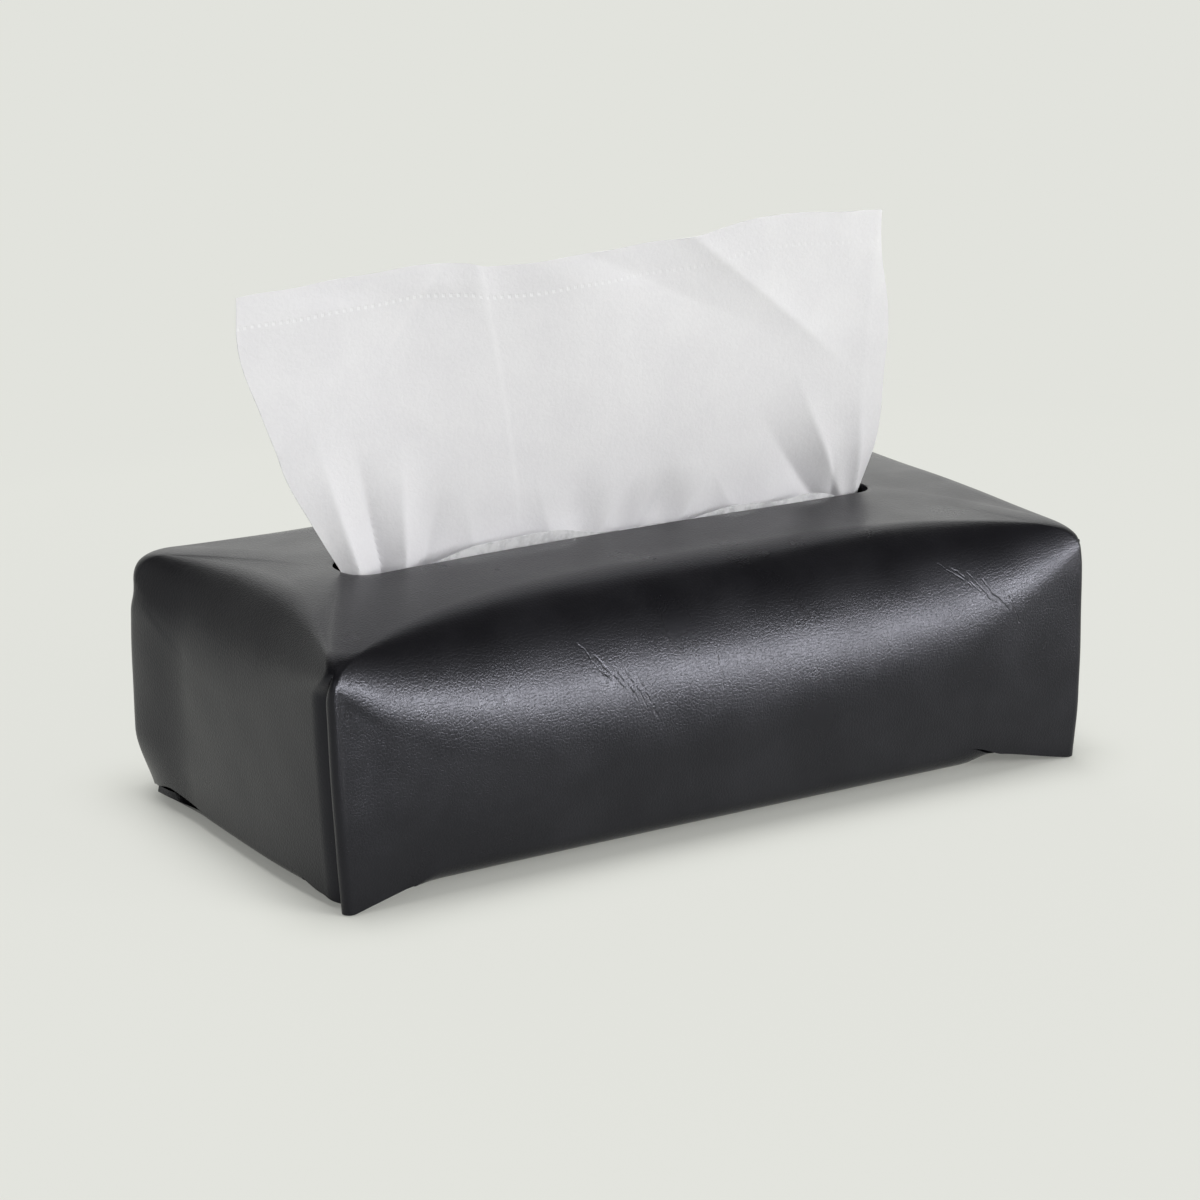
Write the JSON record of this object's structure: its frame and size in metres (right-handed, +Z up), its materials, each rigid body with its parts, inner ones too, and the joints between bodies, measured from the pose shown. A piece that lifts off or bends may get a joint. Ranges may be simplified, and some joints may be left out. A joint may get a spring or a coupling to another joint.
{
  "type": "tissue box cover",
  "caption": "Soft black leather tissue box cover folded from one sheet, with pleated corners, snapped bottom flaps and a long slot for a raised tissue.",
  "frame": {"origin": "centre of the part's bounding box, on the surface that it stands on", "axes": "+X along the cover to the right, +Y to the back, +Z up"},
  "size_m": [0.2574, 0.1294, 0.169],
  "materials": {
    "leather": "smooth black leather with a satin sheen, dark suede on the flesh side",
    "snap_metal": "bright nickel-plated press studs",
    "carton_board": "plain white paperboard",
    "clear_film": "thin clear film",
    "tissue_paper": "soft matt white tissue"
  },
  "bodies": {
    "cover": {"leather_cover": "leather", "tissue_carton": "carton_board", "film_window": "clear_film", "tissue_stack": "tissue_paper"},
    "left_flap": {"left_flap": "leather", "snap_cap_front_left": "snap_metal", "snap_socket_front_left": "snap_metal", "snap_cap_back_left": "snap_metal", "snap_socket_back_left": "snap_metal"},
    "right_flap": {"right_flap": "leather", "snap_cap_front_right": "snap_metal", "snap_socket_front_right": "snap_metal", "snap_cap_back_right": "snap_metal", "snap_socket_back_right": "snap_metal"},
    "front_flap": {"front_flap": "leather", "snap_stud_front_left": "snap_metal", "snap_post_front_left": "snap_metal", "snap_stud_front_right": "snap_metal", "snap_post_front_right": "snap_metal"},
    "back_flap": {"back_flap": "leather", "snap_stud_back_left": "snap_metal", "snap_post_back_left": "snap_metal", "snap_stud_back_right": "snap_metal", "snap_post_back_right": "snap_metal"},
    "tissue": {"raised_tissue": "tissue_paper"},
    "next_tissue": {"next_tissue": "tissue_paper"}
  },
  "joints": [
    {"name": "left_flap_fold", "type": "hinge", "parent": "cover", "child": "left_flap", "pos_m": [-0.12608, 0, 0.003], "axis": [0, 1, 0], "range_deg": [0, 115]},
    {"name": "right_flap_fold", "type": "hinge", "parent": "cover", "child": "right_flap", "pos_m": [0.12608, 0, 0.003], "axis": [0, -1, 0], "range_deg": [0, 115]},
    {"name": "front_flap_fold", "type": "hinge", "parent": "cover", "child": "front_flap", "pos_m": [0, -0.06218, 0.0068], "axis": [-1, 0, 0], "range_deg": [0, 92]},
    {"name": "back_flap_fold", "type": "hinge", "parent": "cover", "child": "back_flap", "pos_m": [0, 0.06218, 0.0068], "axis": [1, 0, 0], "range_deg": [0, 92]},
    {"name": "tissue_pull", "type": "slide", "parent": "cover", "child": "tissue", "axis": [0, 0, 1], "range_m": [0, 0.12]},
    {"name": "next_tissue_rise", "type": "slide", "parent": "cover", "child": "next_tissue", "axis": [0, 0, 1], "range_m": [0, 0.06]}
  ],
  "couplings": [
    {"joint": "right_flap_fold", "follows": "left_flap_fold", "ratio": 1},
    {"joint": "front_flap_fold", "follows": "left_flap_fold", "ratio": 0.8},
    {"joint": "back_flap_fold", "follows": "left_flap_fold", "ratio": 0.8},
    {"joint": "next_tissue_rise", "follows": "tissue_pull", "ratio": 0.5}
  ]
}
